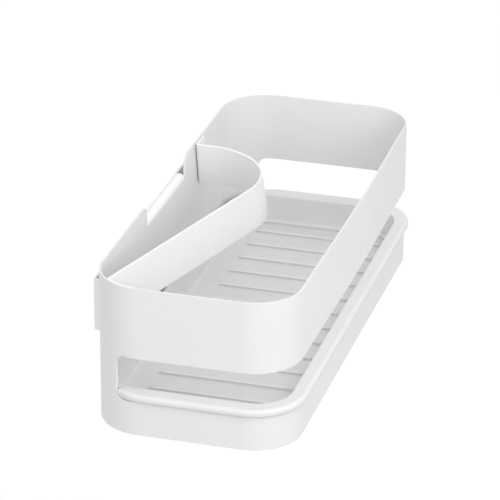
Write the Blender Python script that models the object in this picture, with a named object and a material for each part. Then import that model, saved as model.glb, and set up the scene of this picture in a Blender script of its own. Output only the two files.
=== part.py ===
"""Shower basket that hangs on a wall rail: bent sheet shell, bottle strap, drip tray, rail and pads.

The frame is the wall's: y = 0 is the wall, the room is at negative y, z is up and x runs along the basket.
The origin is the middle of the rail, on the wall. The sizes below are in millimetres.
"""
import math

import bmesh
import bpy
from mathutils import Matrix, Vector

MM = 0.001
TOUCH_GAP = 0.3        # gap that stands for contact between two pieces

# Shell: a laser-cut blank, bent into a closed band
LENGTH = 300.0
DEPTH = 120.0
HEIGHT = 92.6
SHEET = 1.2
FRONT_RADIUS = 28.5
BACK_RADIUS = 30.0
CORNER_STEPS = 14

# Window slot, from one end wall round the front to the other
SLOT_BOTTOM = 21.0
SLOT_HEIGHT = 27.6
SLOT_RADIUS = 5.0
SLOT_REAR = 17.1       # from the back of the shell to the ends of the slot
FILLET_STEPS = 5

# Cut-out in the back wall and the hook that is folded out of it
CUTOUT_WIDTH = 76.4
CUTOUT_DEPTH = 14.9    # from the shell's top edge to the line where the hook starts to bend
CUTOUT_RADIUS = 6.0
HOOK_LEG = 8.5
HOOK_KERF = 0.8        # cut on each side of the flap
HOOK_CORNER = 2.0
HOOK_STEPS = 8
HOOK_PLAY = 0.6        # between the hook's leg and the rail's front wall
HOOK_REAR_PLAY = 2.3   # between the hook's leg and the rail's back

# Wall rail: a channel that is open at the top
RAIL_LENGTH = 230.0
RAIL_HEIGHT = 32.4
RAIL_WALL = 1.4
RAIL_CORNER = 1.6

# Adhesive pads behind the rail
PAD_LENGTH = 54.0
PAD_THICKNESS = 1.0
PAD_CORNER = 4.0
PAD_EDGE = 3.7         # bare strip of rail above and below a pad
PAD_END = 8.0          # bare strip of rail beyond the outer pads

# Bottle strap
STRAP_HEIGHT = 28.0
STRAP_SHEET = 1.4
STRAP_DROP = 0.4       # top edge below the shell's, so that the tilted sheet stays flush
STRAP_RADIUS = 45.0    # outside of the bend
STRAP_BEND_X = 14.6    # middle of the bend, along the basket, at the top edge
STRAP_BEND_Y = 10.5    # and from the back of the shell
STRAP_LEAN = 6.2       # how far the bend moves along the leg from the top edge to the lower edge
STRAP_FOLD = 2.0       # radius of the small folds at the tabs
STRAP_TAB = 16.0       # tab on the back wall
STRAP_CORNER_TAB = 42.0    # degrees of the rear corner that the other tab follows
STRAP_STEPS = 20
TAB_STEPS = 6
FOLD_STEPS = 4

# Drip tray
TRAY_DEPTH = 19.0      # flange to floor
TRAY_WALL = 2.0
TRAY_DRAFT = 0.8
TRAY_END_INSET = 9.0   # shell's outside to the tray's inside, at the ends
TRAY_FRONT_INSET = 6.4
TRAY_REAR_INSET = 6.1
TRAY_INNER_RADIUS = 20.5
TRAY_REAR_RADIUS = 23.0
TRAY_FILLET = 2.0
FLANGE_THICKNESS = 2.0
FLANGE_CLEARANCE = 1.0     # flange to the shell's inside, at the ends and the front
FLANGE_REAR_CLEARANCE = 2.3
LIP_REACH = 2.6        # rim outside the shell
LIP_HEIGHT = 5.1
LIP_STEP = 1.2         # lip above the flange
LIP_ROUND = 2.0        # outer edge, above
LIP_UNDER_ROUND = 2.4  # and below
LIP_ROOT = 1.8         # how far the lip reaches inside the shell's inner face
LIP_END_CLEARANCE = 1.3
LIP_ROUND_STEPS = 3
CUTTER_MARGIN = 10.0   # how far a cutter runs past what it cuts

# Ribs on the tray's floor
RIB_PITCH = 20.9
RIB_WIDTH = 2.4
RIB_HEIGHT = 2.0
RIB_TOP_WIDTH = 1.2
RIB_MARGIN = 8.0       # least bare floor beyond the outer ribs
RIB_REAR_INSET = 14.5  # rib end to the foot of the tray's rear wall
RIB_FRONT_INSET = 7.0
RIB_END_RUN = 3.0

# Hook and rail fit, worked out from the sizes above
HOOK_BEND = (TOUCH_GAP + RAIL_WALL + HOOK_PLAY) / 2
HOOK_BEND_LENGTH = math.pi * (HOOK_BEND + SHEET / 2)
HOOK_SEAT = HEIGHT - CUTOUT_DEPTH
RAIL_CAVITY = HOOK_PLAY + SHEET + HOOK_REAR_PLAY
RAIL_DEPTH = 2 * RAIL_WALL + RAIL_CAVITY
RAIL_TOP_RISE = math.sqrt(HOOK_BEND ** 2 - (HOOK_BEND - TOUCH_GAP) ** 2) - TOUCH_GAP
PAD_HEIGHT = RAIL_HEIGHT - 2 * PAD_EDGE
PAD_PITCH = (RAIL_LENGTH - PAD_LENGTH) / 2 - PAD_END

# Places, with the wall at y = 0 and the rail's middle at z = 0
PAD_FACE = -PAD_THICKNESS
RAIL_BACK = PAD_FACE - TOUCH_GAP
SHELL_BACK = RAIL_BACK - RAIL_DEPTH - TOUCH_GAP
SHELL_FRONT = SHELL_BACK - DEPTH
RAIL_TOP = RAIL_HEIGHT / 2
SHELL_BOTTOM = RAIL_TOP - RAIL_TOP_RISE - HOOK_SEAT
SHELL_TOP = SHELL_BOTTOM + HEIGHT
LIP_BOTTOM = SHELL_BOTTOM + SLOT_BOTTOM + TOUCH_GAP
LIP_TOP = LIP_BOTTOM + LIP_HEIGHT
FLANGE_TOP = LIP_TOP - LIP_STEP
FLOOR_TOP = FLANGE_TOP - TRAY_DEPTH


def material(name, colour, roughness, metallic=0.0):
    """Make a Principled material."""
    made = bpy.data.materials.new(name)
    made.use_nodes = True
    shader = made.node_tree.nodes["Principled BSDF"]
    shader.inputs["Base Color"].default_value = (*colour, 1.0)
    shader.inputs["Roughness"].default_value = roughness
    shader.inputs["Metallic"].default_value = metallic
    return made


def add_object(name, bm, finish, parent=None):
    """Turn a bmesh in millimetres into a named object in metres."""
    bmesh.ops.scale(bm, vec=(MM, MM, MM), verts=bm.verts)
    mesh = bpy.data.meshes.new(name)
    bm.to_mesh(mesh)
    bm.free()
    mesh.materials.append(finish)
    mesh.shade_smooth()
    mesh.set_sharp_from_angle(angle=math.radians(30))
    made = bpy.data.objects.new(name, mesh)
    bpy.context.collection.objects.link(made)
    made.parent = parent
    return made


def add_cutter(name, bm):
    """Make a helper object that shapes others and isn't part of the basket."""
    made = add_object(name, bm, bpy.data.materials.new(name))
    made.hide_render = True
    made.display_type = "WIRE"
    return made


def add_boolean(target, tool, operation):
    """Join, cut or keep the overlap of two objects with the exact solver."""
    modifier = target.modifiers.new(tool.name, "BOOLEAN")
    modifier.operation = operation
    modifier.solver = "EXACT"
    modifier.object = tool


def arc(centre, radius, start, end, steps):
    """Points along an arc, with the angles in degrees."""
    points = []
    for index in range(steps + 1):
        angle = math.radians(start + (end - start) * index / steps)
        points.append(Vector((centre[0] + radius * math.cos(angle), centre[1] + radius * math.sin(angle))))
    return points


def rounded_outline(half_length, front, back, front_radius, back_radius, steps=CORNER_STEPS):
    """A rounded rectangle seen from above, from the middle of the back wall towards -x."""
    outline = [Vector((0.0, back))]
    outline += arc((-half_length + back_radius, back - back_radius), back_radius, 90, 180, steps)
    outline += arc((-half_length + front_radius, front + front_radius), front_radius, 180, 270, steps)
    outline += arc((half_length - front_radius, front + front_radius), front_radius, 270, 360, steps)
    outline += arc((half_length - back_radius, back - back_radius), back_radius, 0, 90, steps)
    return outline


def basket_outline(grow):
    """The shell's outer plan, moved outwards by grow."""
    return rounded_outline(LENGTH / 2 + grow, SHELL_FRONT - grow, SHELL_BACK + grow,
                           FRONT_RADIUS + grow, BACK_RADIUS + grow)


# Shell


def band_path():
    """The bent line of the blank: points from the front seam round the near end and back to the seam."""
    outline = basket_outline(0.0)
    seam = Vector((0.0, SHELL_FRONT))
    half = len(outline) // 2 + 1
    near = outline[1:half]
    far = outline[half:]
    return [seam] + near[::-1] + far[::-1] + [seam]


def distances(path):
    """Distance of each point from the start of a path."""
    total = [0.0]
    for first, second in zip(path, path[1:]):
        total.append(total[-1] + (second - first).length)
    return total


def flat_corner(u, v, u_way, v_way, radius, steps=FILLET_STEPS):
    """A rounded corner of the blank, from its leg along u to its leg along v."""
    points = []
    for index in range(steps + 1):
        turn = math.radians(90 * index / steps)
        points.append((u + u_way * radius * (1 - math.sin(turn)), v + v_way * radius * (1 - math.cos(turn))))
    return points


def slot_end_distance():
    """Length of sheet between the middle of the back wall and an end of the slot."""
    in_corner = min(SLOT_REAR, BACK_RADIUS)
    turn = math.acos(1 - in_corner / BACK_RADIUS)
    return LENGTH / 2 - BACK_RADIUS + BACK_RADIUS * turn + SLOT_REAR - in_corner


def blank_side(half_width):
    """Half of the blank's outline, from its lower middle to the middle of the flap's end."""
    slot_end = slot_end_distance()
    slot_top = SLOT_BOTTOM + SLOT_HEIGHT
    cutout = CUTOUT_WIDTH / 2
    flap = cutout - HOOK_KERF
    flap_end = HOOK_SEAT + HOOK_BEND_LENGTH + HOOK_LEG
    side = [(half_width, 0.0), (half_width, SLOT_BOTTOM)]
    side += flat_corner(slot_end, SLOT_BOTTOM, 1, 1, SLOT_RADIUS)
    side += flat_corner(slot_end, slot_top, 1, -1, SLOT_RADIUS)[::-1]
    side += [(half_width, slot_top), (half_width, HEIGHT)]
    side += flat_corner(cutout, HEIGHT, 1, -1, CUTOUT_RADIUS)
    side += [(cutout, HOOK_SEAT), (flap, HOOK_SEAT)]
    side += flat_corner(flap, flap_end, -1, -1, HOOK_CORNER)[::-1]
    return side


def cut_lines(bm, normal, places):
    """Score the flat blank with straight lines, where it will bend."""
    for place in places:
        geometry = list(bm.verts) + list(bm.edges) + list(bm.faces)
        bmesh.ops.bisect_plane(bm, geom=geometry, plane_co=Vector(normal) * place, plane_no=normal, dist=1e-5)


def point_on(path, marks, distance):
    """Point at a distance along a path."""
    for index in range(len(path) - 1):
        if distance <= marks[index + 1] or index == len(path) - 2:
            share = (distance - marks[index]) / (marks[index + 1] - marks[index])
            return path[index].lerp(path[index + 1], share)


def hook_point(height):
    """Offset behind the back wall, and height, of a point of the flap once it is folded."""
    beyond = height - HOOK_SEAT
    if beyond <= 0:
        return 0.0, height
    if beyond <= HOOK_BEND_LENGTH:
        turn = math.pi * beyond / HOOK_BEND_LENGTH
        return HOOK_BEND * (1 - math.cos(turn)), HOOK_SEAT + HOOK_BEND * math.sin(turn)
    return 2 * HOOK_BEND, HOOK_SEAT - (beyond - HOOK_BEND_LENGTH)


def build_shell(finish, parent):
    """Cut the blank flat, score it, bend it round the plan and fold the hook."""
    path = band_path()
    marks = distances(path)
    half_width = marks[-1] / 2
    side = blank_side(half_width)
    outline = side + [(-u, v) for u, v in reversed(side)]
    bm = bmesh.new()
    bm.faces.new([bm.verts.new((u, v, 0.0)) for u, v in outline])
    cut_lines(bm, (1, 0, 0), [mark - half_width for mark in marks[1:-1]])
    step = HOOK_BEND_LENGTH / HOOK_STEPS
    cut_lines(bm, (0, 1, 0), [HOOK_SEAT + step * index for index in range(HOOK_STEPS + 1)])
    flap = CUTOUT_WIDTH / 2 - HOOK_KERF / 2
    for vert in bm.verts:
        u, v, _ = vert.co
        place = point_on(path, marks, u + half_width)
        behind, height = hook_point(v) if abs(u) < flap else (0.0, v)
        vert.co = (place.x, place.y + behind, SHELL_BOTTOM + height)
    bmesh.ops.remove_doubles(bm, verts=bm.verts, dist=0.001)
    bmesh.ops.recalc_face_normals(bm, faces=bm.faces)
    lowest = min(bm.faces, key=lambda face: face.calc_center_median().y)
    if lowest.normal.y > 0:
        bmesh.ops.reverse_faces(bm, faces=bm.faces)
    shell = add_object("basket_shell", bm, finish, parent)
    solidify = shell.modifiers.new("Sheet", "SOLIDIFY")
    solidify.thickness = SHEET * MM
    solidify.offset = -1.0
    solidify.use_even_offset = True
    return shell


# Bottle strap


def fillet(before, corner, after, radius, steps=FOLD_STEPS):
    """Points of a rounded corner between two straight runs."""
    inward = (before - corner).normalized()
    outward = (after - corner).normalized()
    half = inward.angle(outward) / 2
    centre = corner + (inward + outward).normalized() * (radius / math.sin(half))
    first = corner + inward * (radius / math.tan(half)) - centre
    last = corner + outward * (radius / math.tan(half)) - centre
    turn = first.angle_signed(last)
    points = []
    for index in range(steps + 1):
        points.append(centre + Matrix.Rotation(-turn * index / steps, 2) @ first)
    return points


def strap_path(lean):
    """Plan of the strap at one height, on the side of the walls and the bottle: tab, leg, bend and tab."""
    radius = STRAP_RADIUS - STRAP_SHEET
    tab_radius = BACK_RADIUS - SHEET - TOUCH_GAP
    tab_centre = (-LENGTH / 2 + BACK_RADIUS, SHELL_BACK - BACK_RADIUS)
    tab = arc(tab_centre, tab_radius, 135 + STRAP_CORNER_TAB, 135, TAB_STEPS)
    upper_centre = Vector((STRAP_BEND_X, SHELL_BACK - STRAP_BEND_Y))
    to_centre = upper_centre - tab[-1]
    slant = math.asin(radius / to_centre.length) - math.atan2(to_centre.y, to_centre.x)
    along = Vector((math.cos(slant), -math.sin(slant)))
    centre = upper_centre + along * lean
    bend = arc(centre, radius, 270 - math.degrees(slant), 360, STRAP_STEPS)
    wall = SHELL_BACK - SHEET - TOUCH_GAP
    back_corner = Vector((centre.x + radius, wall))
    end = Vector((back_corner.x + STRAP_TAB, wall))
    return (tab[:-1] + fillet(tab[-2], tab[-1], bend[0], STRAP_FOLD) + bend
            + fillet(bend[-1], back_corner, end, STRAP_FOLD) + [end])


def build_strap(finish, parent):
    """Raise the lower edge's line to the leaning top edge's line, then give the sheet its thickness."""
    lower = strap_path(STRAP_LEAN)
    upper = strap_path(0.0)
    bm = bmesh.new()
    top = SHELL_TOP - STRAP_DROP
    bottom = [bm.verts.new((point.x, point.y, top - STRAP_HEIGHT)) for point in lower]
    edges = [bm.edges.new(pair) for pair in zip(bottom, bottom[1:])]
    raised = bmesh.ops.extrude_edge_only(bm, edges=edges)["geom"]
    new_verts = [item for item in raised if isinstance(item, bmesh.types.BMVert)]
    for vert in new_verts:
        index = min(range(len(lower)), key=lambda i: (lower[i] - vert.co.xy).length)
        vert.co = (upper[index].x, upper[index].y, top)
    strap = add_object("bottle_strap", bm, finish, parent)
    solidify = strap.modifiers.new("Sheet", "SOLIDIFY")
    solidify.thickness = STRAP_SHEET * MM
    solidify.offset = -1.0
    solidify.use_even_offset = True
    return strap


# Drip tray


def add_skin(bm, levels, closed=False):
    """Skin a stack of plans with equal numbers of points; levels holds (height, plan) pairs.

    The plans run anticlockwise from above, so levels that go up the outside and come down the inside
    give faces that point out of the material. Returns the rings of vertices.
    """
    rings = [[bm.verts.new((point.x, point.y, height)) for point in plan] for height, plan in levels]
    pairs = list(zip(rings, rings[1:]))
    if closed:
        pairs.append((rings[-1], rings[0]))
    for first, second in pairs:
        for index in range(len(first)):
            bm.faces.new((first[index - 1], first[index], second[index], second[index - 1]))
    return rings


def tray_plan(grow):
    """Plan of the tray's inside at the rim, moved outwards by grow."""
    return rounded_outline(LENGTH / 2 - TRAY_END_INSET + grow, SHELL_FRONT + TRAY_FRONT_INSET - grow,
                           SHELL_BACK - TRAY_REAR_INSET + grow, TRAY_INNER_RADIUS + grow,
                           TRAY_REAR_RADIUS + grow)


def flange_plan():
    """Plan of the flange's edge, inside the shell."""
    inside = SHEET + FLANGE_CLEARANCE
    return rounded_outline(LENGTH / 2 - inside, SHELL_FRONT + inside, SHELL_BACK - SHEET - FLANGE_REAR_CLEARANCE,
                           FRONT_RADIUS - inside, BACK_RADIUS - inside)


def tray_body():
    """Floor, walls and flange as one skin."""
    under = FLOOR_TOP - TRAY_WALL
    flange_under = FLANGE_TOP - FLANGE_THICKNESS
    bm = bmesh.new()
    levels = [
        (under, tray_plan(TRAY_WALL - TRAY_DRAFT - TRAY_FILLET)),
        (under + TRAY_FILLET, tray_plan(TRAY_WALL - TRAY_DRAFT)),
        (flange_under, tray_plan(TRAY_WALL)),
        (flange_under, flange_plan()),
        (FLANGE_TOP, flange_plan()),
        (FLANGE_TOP, tray_plan(0.0)),
        (FLOOR_TOP + TRAY_FILLET, tray_plan(-TRAY_DRAFT)),
        (FLOOR_TOP, tray_plan(-TRAY_DRAFT - TRAY_FILLET)),
    ]
    rings = add_skin(bm, levels)
    bm.faces.new(rings[0][::-1])
    bm.faces.new(rings[-1])
    return bm


def lip_ring():
    """The rolled rim all the way round, before its rear is cut off."""
    inner = -SHEET - LIP_ROOT
    levels = [(LIP_BOTTOM, basket_outline(inner))]
    for rise, radius, turns in ((LIP_BOTTOM + LIP_UNDER_ROUND, LIP_UNDER_ROUND, (-90, 0)),
                                (LIP_TOP - LIP_ROUND, LIP_ROUND, (0, 90))):
        for point in arc((LIP_REACH - radius, rise), radius, *turns, LIP_ROUND_STEPS):
            levels.append((point.y, basket_outline(point.x)))
    levels.append((LIP_TOP, basket_outline(inner)))
    bm = bmesh.new()
    add_skin(bm, levels, closed=True)
    return bm


def slot_space():
    """Room in front of the rear ends of the slot, with the slot's rounded lower corner."""
    rear = SHELL_BACK - SLOT_REAR - LIP_END_CLEARANCE
    low = SHELL_BOTTOM + SLOT_BOTTOM
    reach = DEPTH + CUTTER_MARGIN
    bm = bmesh.new()
    bmesh.ops.create_cube(bm, size=1.0)
    size = (LENGTH + 2 * CUTTER_MARGIN, reach, SLOT_HEIGHT)
    bmesh.ops.scale(bm, vec=size, verts=bm.verts)
    bmesh.ops.translate(bm, vec=(0.0, rear - reach / 2, low + SLOT_HEIGHT / 2), verts=bm.verts)
    corner = [edge for edge in bm.edges
              if all(vert.co.y > rear - 0.01 and vert.co.z < low + 0.01 for vert in edge.verts)]
    bmesh.ops.bevel(bm, geom=corner, offset=SLOT_RADIUS, segments=FILLET_STEPS, profile=0.5,
                    affect="EDGES", material=-1)
    return bm


def rib_bars():
    """Raised ribs with sloping sides and ends, sunk a little into the floor."""
    sink = TRAY_WALL / 2
    rear = SHELL_BACK - TRAY_REAR_INSET - TRAY_DRAFT - RIB_REAR_INSET
    front = SHELL_FRONT + TRAY_FRONT_INSET + TRAY_DRAFT + RIB_FRONT_INSET
    half_floor = LENGTH / 2 - TRAY_END_INSET - TRAY_DRAFT - TRAY_FILLET
    beside_middle = int((half_floor - RIB_MARGIN) / RIB_PITCH)
    bm = bmesh.new()
    for index in range(-beside_middle, beside_middle + 1):
        x = index * RIB_PITCH
        bar = bmesh.ops.create_cube(bm, size=1.0)["verts"]
        bmesh.ops.scale(bm, vec=(RIB_WIDTH, rear - front, RIB_HEIGHT + sink), verts=bar)
        middle = (x, (rear + front) / 2, FLOOR_TOP + (RIB_HEIGHT - sink) / 2)
        bmesh.ops.translate(bm, vec=middle, verts=bar)
        for vert in bar:
            if vert.co.z > FLOOR_TOP:
                vert.co.x = x + (vert.co.x - x) * RIB_TOP_WIDTH / RIB_WIDTH
                vert.co.y -= math.copysign(RIB_END_RUN, vert.co.y - middle[1])
    return bm


def build_tray(finish, parent):
    """Body, lip and ribs, joined into one moulding."""
    tray = add_object("drip_tray", tray_body(), finish, parent)
    lip = add_cutter("lip_guide", lip_ring())
    add_boolean(lip, add_cutter("slot_guide", slot_space()), "INTERSECT")
    add_boolean(tray, lip, "UNION")
    add_boolean(tray, add_cutter("rib_guide", rib_bars()), "UNION")
    return tray


# Wall rail and pads


def rounded_block(size, centre, edges, radius, steps):
    """A box whose edges along one axis are rounded."""
    bm = bmesh.new()
    bmesh.ops.create_cube(bm, size=1.0)
    bmesh.ops.scale(bm, vec=size, verts=bm.verts)
    bmesh.ops.translate(bm, vec=centre, verts=bm.verts)
    way = Vector(edges)
    chosen = [edge for edge in bm.edges
              if abs((edge.verts[1].co - edge.verts[0].co).normalized().dot(way)) > 0.99]
    bmesh.ops.bevel(bm, geom=chosen, offset=radius, segments=steps, profile=0.5, affect="EDGES", material=-1)
    return bm


def build_rail(finish):
    """A closed-ended channel, hollowed from its top face."""
    centre = (0.0, RAIL_BACK - RAIL_DEPTH / 2, RAIL_TOP - RAIL_HEIGHT / 2)
    bm = rounded_block((RAIL_LENGTH, RAIL_DEPTH, RAIL_HEIGHT), centre, (0, 0, 1), RAIL_CORNER, FILLET_STEPS)
    top = max(bm.faces, key=lambda face: face.calc_center_median().z)
    bmesh.ops.inset_region(bm, faces=[top], thickness=RAIL_WALL, use_even_offset=True)
    pocket = bmesh.ops.extrude_discrete_faces(bm, faces=[top])["faces"]
    bmesh.ops.translate(bm, vec=(0.0, 0.0, RAIL_WALL - RAIL_HEIGHT), verts=pocket[0].verts)
    return add_object("wall_rail", bm, finish)


def build_pad(name, x, finish, parent):
    """A flat foam pad between the rail and the wall."""
    size = (PAD_LENGTH, PAD_THICKNESS, PAD_HEIGHT)
    bm = rounded_block(size, (0.0, PAD_FACE / 2, 0.0), (0, 1, 0), PAD_CORNER, FILLET_STEPS)
    pad = add_object(name, bm, finish, parent)
    pad.location.x = x * MM
    return pad


def add_joint_axis(name, parent=None):
    """An empty that the pieces moved by a slide are parented to."""
    empty = bpy.data.objects.new(name, None)
    bpy.context.collection.objects.link(empty)
    empty.parent = parent
    return empty


def main():
    for old in list(bpy.data.objects):
        bpy.data.objects.remove(old)
    coat = material("white_powder_coat", (0.80, 0.80, 0.80), 0.42)
    strap_coat = material("white_strap_coat", (0.80, 0.80, 0.80), 0.45)
    plastic = material("white_plastic", (0.82, 0.82, 0.82), 0.35)
    rail_coat = material("white_rail_coat", (0.78, 0.78, 0.78), 0.42)
    foam = material("grey_adhesive_foam", (0.45, 0.45, 0.45), 0.9)
    basket = add_joint_axis("basket_lift_axis")
    tray_seat = add_joint_axis("tray_lift_axis", basket)
    build_shell(coat, basket)
    build_strap(strap_coat, basket)
    build_tray(plastic, tray_seat)
    rail = build_rail(rail_coat)
    for name, x in (("left", -PAD_PITCH), ("centre", 0.0), ("right", PAD_PITCH)):
        build_pad("adhesive_pad_" + name, x, foam, rail)


main()
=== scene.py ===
# %% [markdown]
# # A shower basket that hangs on a wall
#
# This lesson builds the looks of a small shower basket in Blender. The real one is a band of white
# coated steel sheet with a window cut round its front, a curved strap that parts off a pocket at
# the wall, a loose plastic tray with ribs, and a narrow rail that is stuck to the tiles with foam
# pads.
#
# A plain engineering model of the basket is loaded first. It fixes the frame: the wall is y = 0,
# the room is at negative y, z is up and x runs along the basket. The lesson then makes a finer copy
# of each piece at the same place, gives it a finish, and lights and photographs the whole.

import math

import bmesh
import bpy
from mathutils import Matrix, Vector


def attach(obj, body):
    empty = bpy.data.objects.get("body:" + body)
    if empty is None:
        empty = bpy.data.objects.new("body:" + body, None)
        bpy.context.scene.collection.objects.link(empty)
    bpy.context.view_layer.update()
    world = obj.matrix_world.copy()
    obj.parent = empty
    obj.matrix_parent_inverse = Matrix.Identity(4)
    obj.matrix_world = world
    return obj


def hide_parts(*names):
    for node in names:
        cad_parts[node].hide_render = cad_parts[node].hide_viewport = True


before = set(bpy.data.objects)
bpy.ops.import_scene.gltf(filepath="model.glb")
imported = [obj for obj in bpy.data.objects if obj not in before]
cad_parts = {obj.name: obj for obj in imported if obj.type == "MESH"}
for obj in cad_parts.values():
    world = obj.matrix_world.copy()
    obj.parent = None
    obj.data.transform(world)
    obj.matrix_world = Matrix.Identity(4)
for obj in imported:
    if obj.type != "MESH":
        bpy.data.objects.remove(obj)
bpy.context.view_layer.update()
MM = 0.001
print("pieces of the engineering model:", sorted(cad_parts))

# %% [markdown]
# ## From a mesh to a piece of the basket
#
# Every piece below is drawn in millimetres, because a drawing of sheet metal is. One function turns
# a drawing into an object in metres, shades it smooth and marks the edges that are really sharp. It
# also hangs the piece on the moving body that it rides on and hides the piece of the engineering
# model that it stands for. Two more give a sheet its thickness and a piece its softly rounded
# edges.
# Both are modifiers, so the drawings stay simple.

# %% Finished pieces
SHARP_ANGLE = 40.0
ROUNDED_ANGLE = 50.0
ROUNDING_STEPS = 3


def finished_piece(name, drawing, body, stands_for):
    """Make an object from a bmesh drawn in millimetres and hang it on its body."""
    bmesh.ops.scale(drawing, vec=(MM, MM, MM), verts=drawing.verts)
    mesh = bpy.data.meshes.new(name)
    drawing.to_mesh(mesh)
    drawing.free()
    mesh.shade_smooth()
    mesh.set_sharp_from_angle(angle=math.radians(SHARP_ANGLE))
    piece = bpy.data.objects.new(name, mesh)
    bpy.context.collection.objects.link(piece)
    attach(piece, body)
    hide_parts(stands_for)
    return piece


def round_the_edges(piece, radius):
    """Round a piece's sharp edges to a radius in millimetres, and keep its flats flat."""
    rounding = piece.modifiers.new("Rounded edges", "BEVEL")
    rounding.width = radius * MM
    rounding.segments = ROUNDING_STEPS
    rounding.limit_method = "ANGLE"
    rounding.angle_limit = math.radians(ROUNDED_ANGLE)
    rounding.harden_normals = True


def give_thickness(piece, thickness):
    """Let a sheet grow away from the side that its faces look to."""
    wall = piece.modifiers.new("Sheet", "SOLIDIFY")
    wall.thickness = thickness * MM
    wall.offset = -1.0
    wall.use_even_offset = True


print("edges over", ROUNDED_ANGLE, "degrees are rounded in", ROUNDING_STEPS, "steps")

# %% [markdown]
# ## The shell's plan
#
# Seen from above the shell is a rounded rectangle, with tighter corners at the front than at the
# wall. The real one is folded from one flat strip, so its plan is best told as a walk: so far
# straight on, then so far round a bend. The walk starts in the middle of the back and goes by the
# near end to the middle of the front, where the strip's ends meet; the far half is its mirror. A
# place on the strip is then a single number, its distance along the sheet from the middle of the
# back, and that number serves for the window's ends and the tray's rim as well.

# %% Plan of the shell
LENGTH = 300.0
DEPTH = 120.0
HEIGHT = 92.6
SHEET = 1.2
FRONT_RADIUS = 28.5
BACK_RADIUS = 30.0
SHELL_BACK = -8.5
SHELL_FRONT = SHELL_BACK - DEPTH
SHELL_BOTTOM = -61.975
SHELL_TOP = SHELL_BOTTOM + HEIGHT

FRONT_STRAIGHT = LENGTH / 2 - FRONT_RADIUS
BACK_STRAIGHT = LENGTH / 2 - BACK_RADIUS
END_STRAIGHT = DEPTH - FRONT_RADIUS - BACK_RADIUS
FRONT_BEND = math.pi / 2 * FRONT_RADIUS
BACK_BEND = math.pi / 2 * BACK_RADIUS
REAR_CORNER_END = BACK_STRAIGHT + BACK_BEND
FRONT_CORNER_START = REAR_CORNER_END + END_STRAIGHT
FRONT_CORNER_END = FRONT_CORNER_START + FRONT_BEND
HALF_STRIP = FRONT_CORNER_END + FRONT_STRAIGHT


def rounded_plan(part, share, half_length, front, back, front_radius, back_radius):
    """Point of a rounded rectangle's near half, given a part of it and a share of that part.

    The parts run from the middle of the back by the near end to the middle of the front.
    """
    if part == "back":
        return Vector((-share * (half_length - back_radius), back))
    if part == "rear corner":
        turn = math.radians(90 * share)
        return Vector((-half_length + back_radius - back_radius * math.sin(turn),
                       back - back_radius + back_radius * math.cos(turn)))
    if part == "end":
        forwards = front + front_radius - back + back_radius
        return Vector((-half_length, back - back_radius + share * forwards))
    if part == "front corner":
        turn = math.radians(90 * share)
        return Vector((-half_length + front_radius - front_radius * math.cos(turn),
                       front + front_radius - front_radius * math.sin(turn)))
    return Vector((-(1 - share) * (half_length - front_radius), front))


def part_of_strip(distance):
    """The part of the plan, and the share of that part, at a distance along the sheet."""
    if distance <= BACK_STRAIGHT:
        return "back", distance / BACK_STRAIGHT
    if distance <= REAR_CORNER_END:
        return "rear corner", (distance - BACK_STRAIGHT) / BACK_BEND
    if distance <= FRONT_CORNER_START:
        return "end", (distance - REAR_CORNER_END) / END_STRAIGHT
    if distance <= FRONT_CORNER_END:
        return "front corner", (distance - FRONT_CORNER_START) / FRONT_BEND
    return "front", min(1.0, (distance - FRONT_CORNER_END) / FRONT_STRAIGHT)


def shell_plan(distance, grow=0.0):
    """Point of the shell's outer plan at a distance along the sheet, moved outwards by grow."""
    part, share = part_of_strip(abs(distance))
    place = rounded_plan(part, share, LENGTH / 2 + grow, SHELL_FRONT - grow, SHELL_BACK + grow,
                         FRONT_RADIUS + grow, BACK_RADIUS + grow)
    return Vector((math.copysign(place.x, distance), place.y))


print("the flat strip is", round(2 * HALF_STRIP, 1), "mm long and", HEIGHT, "mm high")

# %% [markdown]
# ## The strip, flat
#
# The strip starts as a grid with one face, scaled to the sheet's size. Lines are scored into it
# where the window and the cut-out in the back wall begin and end, the faces inside them are
# deleted, and the flap that will be the hook is drawn up out of the cut-out's lower edge. Then all
# the faces melt into one, so that each corner of the outline is a single point that can be rounded
# with a vertex bevel.

# %% Flat strip
SLOT_BOTTOM = 21.0
SLOT_TOP = 48.6
SLOT_RADIUS = 5.0
SLOT_REAR = 17.1
CUTOUT_HALF = 38.2
CUTOUT_RADIUS = 6.0
HOOK_SEAT = 77.7
HOOK_KERF = 0.8
HOOK_LEG = 8.5
HOOK_CORNER = 2.0
HOOK_BEND = 2.2
HOOK_BEND_LENGTH = math.pi * (HOOK_BEND + SHEET / 2)
FLAP_HALF = CUTOUT_HALF - HOOK_KERF
FLAP_END = HOOK_SEAT + HOOK_BEND_LENGTH + HOOK_LEG
SLOT_END = BACK_STRAIGHT + BACK_RADIUS * math.acos(1 - SLOT_REAR / BACK_RADIUS)
CORNER_STEPS = 8
HOOK_CORNER_STEPS = 6
CLOSE = 0.01
ON_THE_LINE = 1e-5
SAME_PLANE = 0.01


def score(drawing, along, places):
    """Score lines into a flat sheet, square to a direction, at each of the places."""
    for place in places:
        everything = list(drawing.verts) + list(drawing.edges) + list(drawing.faces)
        bmesh.ops.bisect_plane(drawing, geom=everything, plane_co=Vector(along) * place,
                               plane_no=along, dist=ON_THE_LINE)


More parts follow.
